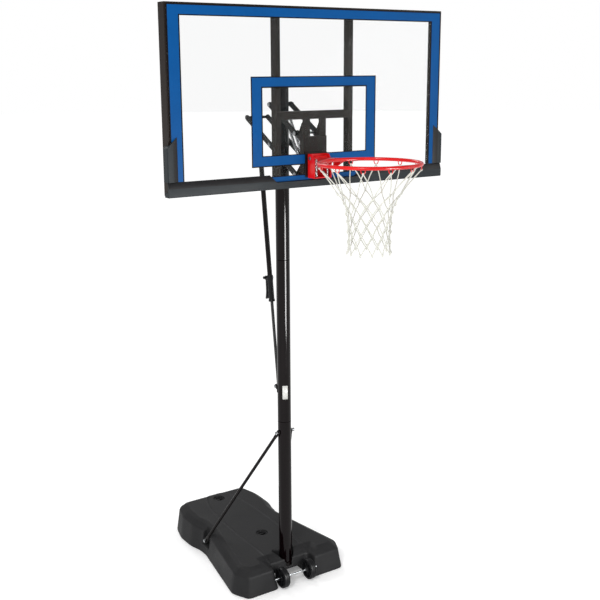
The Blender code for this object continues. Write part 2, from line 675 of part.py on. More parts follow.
def build_frame():
    y = (FRAME_FRONT, FRAME_BACK)
    side_inner = FRAME_HALF - FRAME_WIDTH
    rails = (
        ("frame_top_rail", (FRAME_TOP - FRAME_WIDTH, FRAME_TOP)),
        ("frame_bottom_rail", (FRAME_BOTTOM, FRAME_BOTTOM + FRAME_WIDTH)),
    )
    for name, z in rails:
        tube, cuts = hollow_tube("X", (-side_inner + GAP, side_inner - GAP), (y, z))
        add_part(name, tube, "frame_paint", "board_axis", cuts)
    for side, name in ((-1, "frame_left_rail"), (1, "frame_right_rail")):
        x = sorted((side * side_inner, side * FRAME_HALF))
        tube, cuts = hollow_tube("Z", (FRAME_BOTTOM, FRAME_TOP), (x, y), closed_top=True)
        add_part(name, tube, "frame_paint", "board_axis", cuts)
    depth = (FRAME_FRONT, FRAME_FRONT + STRUT_DEPTH)
    z = (FRAME_BOTTOM + FRAME_WIDTH + GAP, FRAME_TOP - FRAME_WIDTH - GAP)
    for side, name in ((-1, "frame_strut_left"), (1, "frame_strut_right")):
        x = sorted((side * (STRUT_X - STRUT_WIDTH / 2), side * (STRUT_X + STRUT_WIDTH / 2)))
        tube, cuts = hollow_tube("Z", z, (x, depth))
        add_part(name, tube, "frame_paint", "board_axis", cuts)
    low = RIM_HEIGHT + CROSS_BAR_ABOVE_RIM
    half = STRUT_X - STRUT_WIDTH / 2 - GAP
    tube, cuts = hollow_tube("X", (-half, half), (depth, (low, low + CROSS_BAR_HEIGHT)))
    add_part("frame_cross_bar", tube, "frame_paint", "board_axis", cuts)


def rim_bolt_places():
    return [(side * (EAR_INNER - RIM_BOLT_HEAD - 0.0006), RIM_HEIGHT - 0.072) for side in (-1, 1)]


def build_sheet():
    half = BOARD_WIDTH / 2
    outline = [(-half, BOARD_BOTTOM), (half, BOARD_BOTTOM), (half, BOARD_TOP), (-half, BOARD_TOP)]
    holes = [circle(place, RIM_BOLT + RUNNING, 12) for place in rim_bolt_places()]
    sheet = plate(outline, "Y", BOARD_FACE, BOARD_FACE + SHEET_THICKNESS, holes)
    add_part("backboard_sheet", sheet, "acrylic", "board_axis")


def build_brackets():
    """Behind the sheet: a backing plate for the rim, and two bent brackets whose ears hold the arms."""
    bolts = [circle(place, RIM_BOLT + RUNNING, 12) for place in rim_bolt_places()]
    low = FRAME_BOTTOM + FRAME_WIDTH + GAP
    top = RIM_HEIGHT + CROSS_BAR_ABOVE_RIM - GAP
    half = EAR_OUTER + 0.014
    outline = [(-half, low), (half, low), (half, RIM_HEIGHT + 0.097), (-half, RIM_HEIGHT + 0.097)]
    front, back = FRAME_FRONT, FRAME_FRONT + 0.006
    add_part("rim_backing_plate", plate(outline, "Y", front, back, bolts), "frame_paint", "board_axis")
    web = (back + GAP, back + GAP + 0.004)
    hole = BOLT_RADIUS + RUNNING
    rear, lug = FRONT_PIVOT[0], 0.0148
    upper = FRONT_PIVOT[1] + ARM_SPACING
    for side, name in ((-1, "left"), (1, "right")):
        ear = [(web[1] - 0.001, top), (web[1] - 0.001, low)]
        ear += [(FRAME_BACK + 0.003, low)]
        ear += arc((rear, FRONT_PIVOT[1]), lug, 180, 390, 8)
        ear += [(rear - 0.022, FRONT_PIVOT[1] + 0.045), (rear - 0.022, upper - 0.040)]
        ear += arc((rear, upper), lug, -20, 150, 8)
        ear += [(rear - 0.034, upper + 0.045), (web[1] + 0.012, top)]
        holes = [circle(FRONT_PIVOT, hole, 16), circle((rear, upper), hole, 16)]
        ear_plate = plate(ear, "X", *sorted((side * EAR_INNER, side * EAR_OUTER)), holes)
        x = sorted((side * (EAR_INNER - 0.020), side * half))
        web_holes = [circle(place, RIM_BOLT + RUNNING, 12) for place in rim_bolt_places() if place[0] * side > 0]
        outline = [(x[0], low), (x[1], low), (x[1], top), (x[0], top)]
        web_plate = plate(outline, "Y", *web, web_holes)
        add_part(f"board_bracket_{name}", web_plate, "frame_paint", "board_axis", joins=[ear_plate])


def pad_pocket():
    """The room that the sheet and its frame take inside the pad."""
    clear = 0.0008
    return block(
        (-FRAME_HALF - clear, FRAME_HALF + clear),
        (BOARD_FACE - clear, FRAME_BACK + clear),
        (FRAME_BOTTOM - clear, FRAME_TOP + 0.1),
    )


def build_pad():
    """A moulded edge pad: a long lower piece with a bevelled lip, and a tall piece on each side."""
    face, proud = BOARD_FACE, BOARD_FACE - PAD_PROUD
    back = face + PAD_BACK
    bottom, lip, crease = FRAME_BOTTOM - PAD_FLOOR, BOARD_BOTTOM + PAD_LIP, BOARD_BOTTOM + PAD_CREASE
    half, edge = FRAME_HALF + PAD_SIDE, FRAME_HALF - 0.010

    def section(x, top, fold):
        points = [
            (face - 0.001, top), (proud, fold), (proud, bottom + 0.004), (proud + 0.003, bottom),
            (back, bottom), (back, FRAME_BOTTOM + 0.018), (face, FRAME_BOTTOM + 0.018),
        ]
        return [(x, y, z) for y, z in points]

    tray = BOARD_BOTTOM + PAD_TRAY
    stations = [(half - 0.0025, lip, crease), (0.256, lip, crease), (0.222, tray, tray - 0.003)]
    rings = [section(-x, top, fold) for x, top, fold in stations]
    rings += [section(x, top, fold) for x, top, fold in reversed(stations)]
    add_part("pad_bottom", lofted(rings), "pad_plastic", "board_axis", [pad_pocket()])
    for side, name in ((-1, "left"), (1, "right")):
        inner = BOARD_WIDTH / 2 - PAD_COVER
        outline = [
            (inner, face - 0.001), (inner + 0.024, proud), (half - 0.004, proud), (half, proud + 0.004),
            (half, back), (edge, back), (edge, face), (inner, face),
        ]

        def ring(height):
            return [(side * x, y, height(x)) for x, y in outline]

        def top_edge(x):
            return BOARD_BOTTOM + SIDE_PAD_TOP + (half - x) * SIDE_PAD_SLOPE

        tall = lofted([ring(lambda x: lip + GAP), ring(lambda x: top_edge(x) - 0.004), ring(top_edge)])
        add_part(f"pad_side_{name}", tall, "pad_plastic", "board_axis", [pad_pocket()])


# ---------------------------------------------------------------- rim

def build_rim_housing():
    """On the board: a black mounting plate, a red folded housing, its bolts and the breakaway pin."""
    places = rim_bolt_places()
    bolts = [circle(place, RIM_BOLT + RUNNING, 12) for place in places]
    top, low = RIM_HEIGHT + 0.016, RIM_HEIGHT - 0.094
    front = BOARD_FACE - GAP
    wide = HOUSING_HALF + 0.014
    outline = [(-wide, low + 0.004), (wide, low + 0.004), (wide, top + 0.004), (-wide, top + 0.004)]
    add_part("rim_mount_plate", plate(outline, "Y", front - 0.005, front, bolts), "black_paint", "board_axis")
    back = front - 0.005 - GAP
    half, wall = HOUSING_HALF, 0.0035
    lip = back - 0.052
    web = plate([(-half, low), (half, low), (half, top), (-half, top)], "Y", back - wall, back, bolts)
    shelf = block((-half, half), (lip, back - 0.001), (low, low + 0.004))
    cheek = [(back - 0.001, low), (back - 0.001, top), (HINGE[0] - 0.014, top), (lip, top - 0.030), (lip, low)]
    cheeks = [plate(cheek, "X", *sorted((side * (half - wall), side * half))) for side in (-1, 1)]
    cuts = [cross_rod(HINGE, 0.1, 0.005 + RUNNING, 16)]
    add_part("rim_housing", web, "rim_red", "board_axis", cuts, [shelf, *cheeks])
    add_part("breakaway_pin", bolt(HINGE, half + 0.001, 0.005, 0.0085), "zinc", "board_axis")
    for (x, z), name in zip(places, ("left", "right")):
        head, shank = RIM_BOLT_HEAD, RIM_BOLT
        profile = [
            (0, -0.0095), (head * 0.6, -0.0095), (head, -0.0075), (head, -0.0040), (shank, -0.0040),
            (shank, 0.0245), (head, 0.0245), (head, 0.0295), (0, 0.0295),
        ]
        spindle = turned(profile, (x, back, z), (0, 1, 0), 14)
        add_part(f"rim_bolt_{name}", spindle, "zinc", "board_axis")


def build_yoke():
    """The moving plate between the pin and the ring, with a rolled knuckle and two gussets below."""
    z0, z1 = RIM_HEIGHT - 0.004, RIM_HEIGHT
    half = HOUSING_HALF - 0.006
    reach = RING_RADIUS + RING_TUBE + GAP
    ring_side = arc((0, RING_CENTRE), reach, 62, 118, 12)
    rear = HINGE[0] - 0.0075
    outline = [(half, rear), (half, HINGE[0] - 0.050)] + ring_side + [(-half, HINGE[0] - 0.050), (-half, rear)]
    holes = [circle((side * 0.031, HINGE[0] - 0.024), 0.0075, 14) for side in (-1, 1)]
    knuckle = cross_rod(HINGE, half, 0.0095, 20, bore=0.005 + RUNNING)
    near, far = HINGE[0] - 0.060, RING_CENTRE + reach + 0.004
    gussets = []
    for side in (-1, 1):
        x = sorted((side * (half - 0.004), side * half))
        outline_below = [(near, z0 + 0.001), (near, z0 - 0.048), (far, z0 - 0.004), (far, z0 + 0.001)]
        gussets.append(plate(outline_below, "X", *x))
    add_part("rim_yoke", plate(outline, "Z", z0, z1, holes), "rim_red", "rim_axis", joins=[knuckle, *gussets])


def build_ring():
    mesh = bmesh.new()
    around, rings = 8, 64
    for k in range(rings):
        turn = 2 * pi * k / rings
        for j in range(around):
            roll = 2 * pi * j / around
            reach = RING_RADIUS + RING_TUBE * cos(roll)
            place = (reach * cos(turn), RING_CENTRE + reach * sin(turn), RIM_HEIGHT + RING_TUBE * sin(roll))
            mesh.verts.new(place)
    mesh.verts.ensure_lookup_table()
    for k in range(rings):
        for j in range(around):
            near, far = k * around, (k + 1) % rings * around
            after = (j + 1) % around
            mesh.faces.new([mesh.verts[i] for i in (near + j, far + j, far + after, near + after)])
    add_part("rim_ring", mesh, "rim_red", "rim_axis")


def build_rim_springs():
    """Two vertical springs that hold the yoke up against its stop, each round its own guide rod."""
    low = RIM_HEIGHT - 0.090
    for side, name in ((-1, "left"), (1, "right")):
        x, y = side * 0.031, HINGE[0] - 0.024
        start, stop = (x, y, low + GAP), (x, y, RIM_HEIGHT - 0.004 - GAP)
        add_part(f"rim_spring_{name}", rod(start, stop, 0.0070, 14, bore=0.0042), "spring_steel", "board_axis")


def build_net():
    """The outer shape of the net: a thin tapered sleeve, open at both ends."""
    top = RIM_HEIGHT - RING_TUBE - 0.004
    shape = [
        (0.0, 0.2215), (0.12, 0.190), (0.27, 0.160), (0.36, 0.134), (0.46, 0.110), (0.85, 0.100), (1.0, 0.102),
    ]
    outer = [(radius, top - NET_LENGTH * down) for down, radius in shape]
    inner = [(radius - NET_WALL, height) for radius, height in reversed(outer)]
    sleeve = turned(outer + inner, (0, RING_CENTRE, 0), (0, 0, 1), 20)
    add_part("net", sleeve, "net_cord", "rim_axis")


# ---------------------------------------------------------------- assembly

def main():
    clear_scene()
    make_finish("tank_plastic", (0.034, 0.034, 0.036), 0.55)
    make_finish("black_plastic", (0.012, 0.012, 0.013), 0.42)
    make_finish("pole_paint", (0.012, 0.010, 0.011), 0.22)
    make_finish("black_paint", (0.012, 0.012, 0.012), 0.35)
    make_finish("frame_paint", (0.026, 0.021, 0.018), 0.38)
    make_finish("pad_plastic", (0.030, 0.036, 0.036), 0.60)
    make_finish("acrylic", (0.92, 0.95, 0.97), 0.04, alpha=0.15)
    make_finish("rim_red", (0.75, 0.030, 0.026), 0.32)
    make_finish("zinc", (0.60, 0.60, 0.58), 0.30, 1.0)
    make_finish("spring_steel", (0.55, 0.55, 0.56), 0.28, 1.0)
    make_finish("net_cord", (0.86, 0.86, 0.82), 0.80)
    add_pivot("hoop", (0, 0, 0))
    add_pivot("lower_arm_axis", (0, *LOWER_PIVOT), "hoop")
    add_pivot("upper_arm_axis", (0, *UPPER_PIVOT), "hoop")
    add_pivot("board_axis", (0, *FRONT_PIVOT), "lower_arm_axis")
    add_pivot("rim_axis", (0, *HINGE), "board_axis")
    add_pivot("counter_spring_axis", (0, *SPRING_ANCHOR), "hoop")
    add_pivot("lift_axis", (0, *LIFT_FOOT), "hoop")
    build_base()
    build_caps()
    build_wheels()
    build_pole()
    build_braces()
    build_arms()
    build_spring_bracket()
    build_counter_springs()
    build_lift_foot()
    build_lift_rod()
    build_lift_tube()
    build_handle()
    build_frame()
    build_sheet()
    build_brackets()
    build_pad()
    build_rim_housing()
    build_yoke()
    build_ring()
    build_rim_springs()
    build_net()
    pivots["hoop"][0].location.y = ORIGIN_SHIFT


main()
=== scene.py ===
# %% [markdown]
# # A portable basketball hoop
# A water-filled tank on two wheels holds a three-piece pole. Four arms carry a clear backboard with
# a padded lower edge, a sprung red rim and a cord net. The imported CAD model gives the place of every
# piece, so this lesson adds what a solid can't show: fine round shapes, coils, cords and finishes.

# %% Load the frame
import json
import random
from math import cos, pi, radians, sin

import bmesh
import bpy
from mathutils import Matrix, Vector
from mathutils.bvhtree import BVHTree

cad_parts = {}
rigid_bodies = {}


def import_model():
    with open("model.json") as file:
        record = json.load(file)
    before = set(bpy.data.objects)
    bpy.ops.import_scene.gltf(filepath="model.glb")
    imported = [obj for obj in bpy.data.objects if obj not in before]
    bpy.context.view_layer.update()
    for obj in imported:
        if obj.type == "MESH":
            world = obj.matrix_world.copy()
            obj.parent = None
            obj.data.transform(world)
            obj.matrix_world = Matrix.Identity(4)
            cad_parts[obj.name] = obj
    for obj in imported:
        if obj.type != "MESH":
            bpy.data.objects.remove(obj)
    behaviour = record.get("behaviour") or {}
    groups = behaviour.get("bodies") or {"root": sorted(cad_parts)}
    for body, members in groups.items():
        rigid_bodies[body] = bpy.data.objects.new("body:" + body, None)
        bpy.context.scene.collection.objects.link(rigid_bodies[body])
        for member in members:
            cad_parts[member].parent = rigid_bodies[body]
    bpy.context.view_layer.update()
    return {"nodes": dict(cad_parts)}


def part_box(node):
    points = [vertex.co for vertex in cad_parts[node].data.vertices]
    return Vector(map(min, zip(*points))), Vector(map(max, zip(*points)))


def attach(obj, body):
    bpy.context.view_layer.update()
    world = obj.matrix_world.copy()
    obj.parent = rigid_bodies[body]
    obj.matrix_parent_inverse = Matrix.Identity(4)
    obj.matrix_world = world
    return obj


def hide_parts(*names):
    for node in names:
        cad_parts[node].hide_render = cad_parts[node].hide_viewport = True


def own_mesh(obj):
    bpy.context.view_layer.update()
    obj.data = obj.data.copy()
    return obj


for start_up_object in list(bpy.data.objects):
    bpy.data.objects.remove(start_up_object)
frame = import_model()

# %% [markdown]
# ## The camera
# The hoop is seen from its front left, from a little above the rim. The camera is turned about Z, then
# tipped down, then rolled by a third of a degree, so three simple rotations multiplied give its place.

# %% Camera
CAMERA_PLACE = (-2.61125, -4.03091, 2.68869)
CAMERA_YAW, CAMERA_TIP, CAMERA_ROLL = radians(-33.692), radians(76.809), radians(-0.307)
lens = bpy.data.cameras.new("camera")
lens.lens = 58.49
lens.sensor_width = 36.0
lens.shift_y = -0.00425
camera = bpy.data.objects.new("camera", lens)
bpy.context.scene.collection.objects.link(camera)
camera.matrix_world = (
    Matrix.Translation(CAMERA_PLACE) @ Matrix.Rotation(CAMERA_YAW, 4, "Z")
    @ Matrix.Rotation(CAMERA_TIP, 4, "X") @ Matrix.Rotation(CAMERA_ROLL, 4, "Z")
)
bpy.context.scene.camera = camera
print("camera", round(lens.lens, 1), "mm at", CAMERA_PLACE)

# %% [markdown]
# ## Finishes
# Moulded plastic, powder coat, zinc plate and spring wire differ in gloss and grain more than in
# colour. One helper makes them all: a slow noise moves the colour and the gloss in soft patches, and
# a fine noise gives the grain as a bump. The pattern reads Object coordinates, which are metres here,
# so that a grain of 1/900 m is the same size on every piece.

# %% One helper for paint, plastic and metal
BUMP_STRENGTH = 0.5
SLOW_DETAIL, FINE_DETAIL = 5.0, 2.0
NOISE_LOW, NOISE_HIGH = 0.3, 0.7


def blotches(material, scale, detail):
    """A noise on Object coordinates."""
    tree = material.node_tree
    coordinates = tree.nodes.new("ShaderNodeTexCoord")
    noise = tree.nodes.new("ShaderNodeTexNoise")
    noise.inputs["Scale"].default_value = scale
    noise.inputs["Detail"].default_value = detail
    tree.links.new(coordinates.outputs["Object"], noise.inputs["Vector"])
    return noise.outputs["Fac"]


def ramp(material, source, stops):
    """Colours along a 0 to 1 value."""
    tree = material.node_tree
    band = tree.nodes.new("ShaderNodeValToRGB")
    while len(band.color_ramp.elements) < len(stops):
        band.color_ramp.elements.new(0.5)
    for element, (place, colour) in zip(band.color_ramp.elements, stops):
        element.position = place
        element.color = (*colour, 1)
    tree.links.new(source, band.inputs["Fac"])
    return band.outputs["Color"]


def rescaled(material, source, low, high, start=NOISE_LOW, stop=NOISE_HIGH):
    """A value moved from the range start to stop to the range low to high; it works on a world too."""
    tree = material.node_tree
    span = tree.nodes.new("ShaderNodeMapRange")
    span.inputs["From Min"].default_value = start
    span.inputs["From Max"].default_value = stop
    span.inputs["To Min"].default_value = low
    span.inputs["To Max"].default_value = high
    tree.links.new(source, span.inputs["Value"])
    return span.outputs["Result"]


def bumped(material, source, distance):
    tree = material.node_tree
    bump = tree.nodes.new("ShaderNodeBump")
    bump.inputs["Distance"].default_value = distance
    bump.inputs["Strength"].default_value = BUMP_STRENGTH
    tree.links.new(source, bump.inputs["Height"])
    return bump.outputs["Normal"]


def linear(red, green, blue):
    """A screen colour, 0 to 255, as the light values that shaders take."""
    return tuple(
        c / 12.92 if c <= 0.04045 else ((c + 0.055) / 1.055) ** 2.4
        for c in (red / 255, green / 255, blue / 255)
    )


def shade(colour, by):
    return tuple(min(1.0, c * by) for c in colour)


def make_finish(name, colour, gloss, metallic=0.0, coat=0.0, shine=0.5, grain=900, depth=0.0002,
                wander=0.14, patch=7):
    """gloss is the lowest and the highest roughness, shine the mirror share at its surface, and
    wander how far the colour moves."""
    material = bpy.data.materials.new(name)
    material.use_nodes = True
    shader = material.node_tree.nodes["Principled BSDF"]
    shader.inputs["Metallic"].default_value = metallic
    shader.inputs["Coat Weight"].default_value = coat
    shader.inputs["Specular IOR Level"].default_value = shine
    shader.inputs["Coat Roughness"].default_value = 0.12
    slow = blotches(material, patch, SLOW_DETAIL)
    tone = ramp(material, slow, ((NOISE_LOW, shade(colour, 1 - wander)), (0.5, colour),
                                 (NOISE_HIGH, shade(colour, 1 + wander))))
    links = material.node_tree.links
    links.new(tone, shader.inputs["Base Color"])
    links.new(rescaled(material, slow, *gloss), shader.inputs["Roughness"])
    fine = blotches(material, grain, FINE_DETAIL)
    links.new(bumped(material, fine, depth), shader.inputs["Normal"])
    return material


TANK = make_finish("tank_plastic", linear(36, 36, 37), (0.46, 0.62), shine=0.12, grain=520, depth=0.0009,
                   wander=0.20)
PLASTIC = make_finish("black_plastic", linear(20, 20, 22), (0.34, 0.48), shine=0.16, grain=700,
                      depth=0.0003)
POLE_COAT = make_finish("pole_paint", linear(9, 3, 4), (0.07, 0.13), shine=0.16, grain=330, depth=0.0001)
BLACK_COAT = make_finish("black_paint", linear(16, 13, 13), (0.26, 0.38), shine=0.14, grain=420,
                         depth=0.0001)
FRAME_COAT = make_finish("frame_paint", linear(27, 20, 16), (0.34, 0.46), shine=0.12, grain=420,
                         depth=0.0001)
PAD = make_finish("pad_plastic", linear(37, 42, 45), (0.42, 0.56), shine=0.12, grain=620, depth=0.0005,
                  wander=0.12)
RED_COAT = make_finish("rim_red", linear(206, 20, 22), (0.22, 0.32), coat=0.15, shine=0.2, grain=380,
                       depth=0.0001, wander=0.08)
ZINC = make_finish("zinc", linear(150, 152, 154), (0.24, 0.42), metallic=1.0, grain=260, depth=0.0001,
                   wander=0.18, patch=55)
DARK_STEEL = make_finish("dark_steel", linear(66, 66, 66), (0.22, 0.36), metallic=0.9, grain=260,
                         depth=0.0001, wander=0.18, patch=30)
SPRING_WIRE = make_finish("spring_steel", linear(176, 178, 180), (0.18, 0.32), metallic=1.0, grain=500,
                          depth=0.0001, wander=0.16, patch=40)
PRINT_BLUE = make_finish("print_blue", linear(0, 73, 134), (0.38, 0.44), shine=0.06, grain=1200,
                         depth=0.00003, wander=0.05)
PRINT_BLACK = make_finish("print_black", linear(10, 9, 9), (0.38, 0.44), shine=0.06, grain=1200,
                          depth=0.00003, wander=0.06)
LABEL = make_finish("label_vinyl", linear(214, 214, 210), (0.30, 0.40), grain=900, depth=0.00004,
                    wander=0.03)
CORD = make_finish("net_cord", linear(206, 206, 197), (0.74, 0.86), shine=0.3, grain=1100, depth=0.0012,
                   wander=0.08, patch=30)
print(len(bpy.data.materials), "finishes")

# %% [markdown]
# ## Clear acrylic
# The sheet is cast acrylic. A glass shader would bend what lies behind a sheet this thin only by a
# hair, and it is slow to clean up, so the sheet is a glossy surface that lets most light through. Faint
# haze and rubbing move the gloss.

# %% Clear acrylic
ACRYLIC_COVER = 0.035
CLEAR = make_finish("acrylic", linear(100, 110, 110), (0.02, 0.07), shine=0.5, grain=60, depth=0.00002,
                    wander=0.02)
CLEAR.node_tree.nodes["Principled BSDF"].inputs["Alpha"].default_value = ACRYLIC_COVER
print("acrylic covers", ACRYLIC_COVER)

# %% [markdown]
# ## Helpers for shapes
# Every new piece ends in `settle`, which shades it, links it, hangs it on the body it rides on and
# hides the CAD piece it stands for. `turned` is the lathe, `wire` bends round stock along points, and
# `dressed` takes a imported piece, joins its loose triangles and breaks its edges with a small bevel, as
# folding, moulding and paint do on the real one.

# %% Shape helpers
def settle(name, shape, material, body, stands_for=(), crease=35):
    for face in shape.faces:
        face.smooth = True
    for edge in shape.edges:
        edge.smooth = edge.calc_face_angle(0) < radians(crease)
    mesh = bpy.data.meshes.new(name)
    shape.to_mesh(mesh)
    shape.free()
    mesh.materials.clear()
    mesh.materials.append(material)
    piece = bpy.data.objects.new(name, mesh)
    bpy.context.scene.collection.objects.link(piece)
    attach(piece, body)
    if stands_for:
        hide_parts(*stands_for)
    return piece


def aimed(start, direction):
    """Turns +Z to a direction and moves the origin to a start."""
    turn = Vector((0, 0, 1)).rotation_difference(Vector(direction)).to_matrix().to_4x4()
    return Matrix.Translation(start) @ turn


def turned(profile, start, direction=(0, 0, 1), steps=64, closed=False):
    """A lathe: (radius, height) pairs spun about a line."""
    shape = bmesh.new()
    corners = [shape.verts.new((radius, 0, height)) for radius, height in profile]
    pairs = list(zip(corners, corners[1:]))
    if closed:
        pairs.append((corners[-1], corners[0]))
    edges = [shape.edges.new(pair) for pair in pairs]
    bmesh.ops.spin(shape, geom=corners + edges, cent=(0, 0, 0), axis=(0, 0, 1), dvec=(0, 0, 0),
                   angle=2 * pi, steps=steps, use_merge=True)
    bmesh.ops.remove_doubles(shape, verts=shape.verts, dist=1e-6)
    bmesh.ops.recalc_face_normals(shape, faces=shape.faces)
    bmesh.ops.transform(shape, matrix=aimed(start, direction), verts=shape.verts)
    return shape


def wire(lines, radius, sides=8, closed=False):
    """Round stock bent along one or more lines of points."""
    curve = bpy.data.curves.new("wire", "CURVE")
    curve.dimensions = "3D"
    curve.bevel_depth = radius
    curve.bevel_resolution = sides // 2 - 2
    curve.use_fill_caps = True
    for points in lines:
        spline = curve.splines.new("POLY")
        spline.points.add(len(points) - 1)
        for knot, place in zip(spline.points, points):
            knot.co = (*place, 1)
        spline.use_cyclic_u = closed
    holder = bpy.data.objects.new("wire", curve)
    bpy.context.scene.collection.objects.link(holder)
    bpy.context.view_layer.update()
    made = holder.evaluated_get(bpy.context.evaluated_depsgraph_get())
    shape = bmesh.new()
    shape.from_mesh(made.to_mesh())
    made.to_mesh_clear()
    bpy.data.objects.remove(holder)
    bmesh.ops.remove_doubles(shape, verts=shape.verts, dist=1e-7)
    bmesh.ops.recalc_face_normals(shape, faces=shape.faces)
    return shape


def add(shape, other):
    """Puts the second shape's faces into the first."""
    spare = bpy.data.meshes.new("spare")
    other.to_mesh(spare)
    other.free()
    shape.from_mesh(spare)
    bpy.data.meshes.remove(spare)
    return shape


def block(low, high, bevel=0.0, segments=2):
    shape = bmesh.new()
    bmesh.ops.create_cube(shape, size=1.0)
    low, high = Vector(low), Vector(high)
    bmesh.ops.scale(shape, vec=high - low, verts=shape.verts)
    bmesh.ops.translate(shape, vec=(low + high) / 2, verts=shape.verts)
    if bevel:
        bmesh.ops.bevel(shape, geom=shape.edges, offset=bevel, segments=segments, profile=0.5,
                        affect="EDGES", material=-1, clamp_overlap=True)
    return shape


def merged_copy(node):
    shape = bmesh.new()
    shape.from_mesh(frame["nodes"][node].data)
    bmesh.ops.remove_doubles(shape, verts=shape.verts, dist=1e-5)
    bmesh.ops.dissolve_limit(shape, angle_limit=radians(1), verts=shape.verts, edges=shape.edges)
    return shape


def dressed(node, material, body, bevel=0.001, crease=35):
    shape = merged_copy(node)
    corners = [e for e in shape.edges if e.calc_face_angle(0) > radians(crease)]
    bmesh.ops.bevel(shape, geom=corners, offset=bevel, segments=2, profile=0.5, affect="EDGES",
                    material=-1, clamp_overlap=True)
    piece = settle(node + "_skin", shape, material, body, (node,), crease)
    even = piece.modifiers.new("even shading", "WEIGHTED_NORMAL")
    even.keep_sharp = True
    return piece


def painted_shade_faces(piece, material, faces_where):
    """Painted shade: a second, darker finish on the faces whose normals pass a test, so that a lip or a
    chamfer turned from the light reads dark.
    """
    piece.data.materials.append(material)
    for face in piece.data.polygons:
        if faces_where(face.normal, face.center):
            face.material_index = 1
    return piece


def box_of(node):
    low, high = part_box(node)
    return Vector(low), Vector(high)


print("helpers ready")

# %% [markdown]
# ## The floor and the light
# A pale floor that runs far back, an even white surround and three large soft lamps light the hoop
# evenly. A fourth, tall lamp shows only as a mirror image: it puts one long highlight on the round pole,
# which is the best test of gloss paint. The floor glows a little more with distance, so that no line
# shows where it meets the surround.

# %% Floor and studio light
sky = bpy.data.worlds.new("studio")
sky.use_nodes = True
sky.node_tree.nodes["Background"].inputs["Color"].default_value = (1, 1, 1, 1)
SURROUND_SEEN, SURROUND_LIGHT = 1.0, 0.55
FLOOR_REACH = 60.0
GLOW_FROM, GLOW_TO, GLOW_NEAR, GLOW_FAR = 2.0, 9.0, 0.20, 0.55
paths = sky.node_tree.nodes.new("ShaderNodeLightPath")
level = rescaled(sky, paths.outputs["Is Camera Ray"], SURROUND_LIGHT, SURROUND_SEEN, 0, 1)
sky.node_tree.links.new(level, sky.node_tree.nodes["Background"].inputs["Strength"])
bpy.context.scene.world = sky
bpy.context.scene.view_settings.view_transform = "Standard"

floor_paint = make_finish("floor_paint", (0.95, 0.95, 0.95), (0.75, 0.85), grain=40, depth=0.0002,
                          wander=0.01, patch=0.6)
floor_shader = floor_paint.node_tree.nodes["Principled BSDF"]
floor_tree = floor_paint.node_tree
floor_place = floor_tree.nodes.new("ShaderNodeTexCoord")
floor_reach = floor_tree.nodes.new("ShaderNodeVectorMath")
floor_reach.operation = "LENGTH"
floor_tree.links.new(floor_place.outputs["Object"], floor_reach.inputs[0])
glow = rescaled(floor_paint, floor_reach.outputs["Value"], GLOW_NEAR, GLOW_FAR, GLOW_FROM, GLOW_TO)
floor_shader.inputs["Emission Color"].default_value = (1, 1, 1, 1)
floor_tree.links.new(glow, floor_shader.inputs["Emission Strength"])
ground = bmesh.new()
bmesh.ops.create_circle(ground, cap_ends=True, segments=96, radius=FLOOR_REACH)
ground_mesh = bpy.data.meshes.new("floor")
ground.to_mesh(ground_mesh)
ground.free()
ground_mesh.materials.append(floor_paint)
floor = bpy.data.objects.new("floor", ground_mesh)
bpy.context.scene.collection.objects.link(floor)


def lamp(name, place, target, size, watts):
    light = bpy.data.lights.new(name, "AREA")
    light.size = size
    light.energy = watts
    holder = bpy.data.objects.new(name, light)
    bpy.context.scene.collection.objects.link(holder)
    holder.matrix_world = aimed(place, Vector(place) - Vector(target))
    return holder


lamp("key", (-4.2, -3.4, 4.6), (0, -0.2, 1.6), 1.4, 210)
lamp("fill", (3.6, -3.6, 2.6), (0, -0.1, 1.6), 1.6, 42)
lamp("back", (0.6, 4.2, 4.4), (0, 0.2, 1.8), 2.0, 90)
tall_lamp = lamp("strip", (0.38, -2.37, 1.20), (0, 0, 1.20), 0.8, 130)
tall_lamp.data.shape = "RECTANGLE"
tall_lamp.data.size_y = 0.95
tall_lamp.visible_diffuse = False
tall_lamp.visible_camera = False
print("floor and", len(bpy.data.lights), "lamps")

# %% [markdown]
# ## The tank
# The tank is blow-moulded: air pushes a soft tube of plastic against a steel mould, so no edge is
# sharp and every corner is pulled round. A bevel on so many cuts would tear, so the merged CAD solid
# is rebuilt from small voxels and then smoothed, which rounds every edge and valley together. A low
# rib runs round the middle of the top to stiffen it. It is laid on the solid as a bent rod, half sunk,
# before the voxels join the two.

# %% Tank
RIB_LINE = ((0.118, 0.020), (0.122, 0.180), (0.128, 0.360), (0.122, 0.560), (0.108, 0.690),
            (0.078, 0.790), (0.036, 0.842), (0.0, 0.852))
RIB_RADIUS, RIB_SUNK, RIB_STEP = 0.0052, 0.0020, 0.02
VOXEL, SMOOTHINGS = 0.0038, 2
tank_solid = merged_copy("base_tank")
tank_top = BVHTree.FromBMesh(tank_solid)


def on_tank(x, y):
    struck = tank_top.ray_cast(Vector((x, y, 1.0)), Vector((0, 0, -1)))[0]
    return struck - Vector((0, 0, RIB_SUNK))


rib_path = [on_tank(-x, y) for x, y in RIB_LINE] + [on_tank(x, y) for x, y in reversed(RIB_LINE[:-1])]
fine_path = []
for start, stop in zip(rib_path, rib_path[1:]):
    steps = max(2, int((stop - start).length / RIB_STEP))
    for k in range(steps):
        between = start.lerp(stop, k / steps)
        fine_path.append(on_tank(between.x, between.y))
add(tank_solid, wire([fine_path + [rib_path[-1]]], RIB_RADIUS, 10))
tank = settle("tank", tank_solid, TANK, "base", ("base_tank",))
voxels = tank.modifiers.new("voxels", "REMESH")
voxels.mode = "VOXEL"
voxels.voxel_size = VOXEL
voxels.use_smooth_shade = True
soft = tank.modifiers.new("pulled round", "SMOOTH")
soft.factor = 0.5
soft.iterations = SMOOTHINGS
print("tank from", len(tank.data.polygons), "CAD faces")

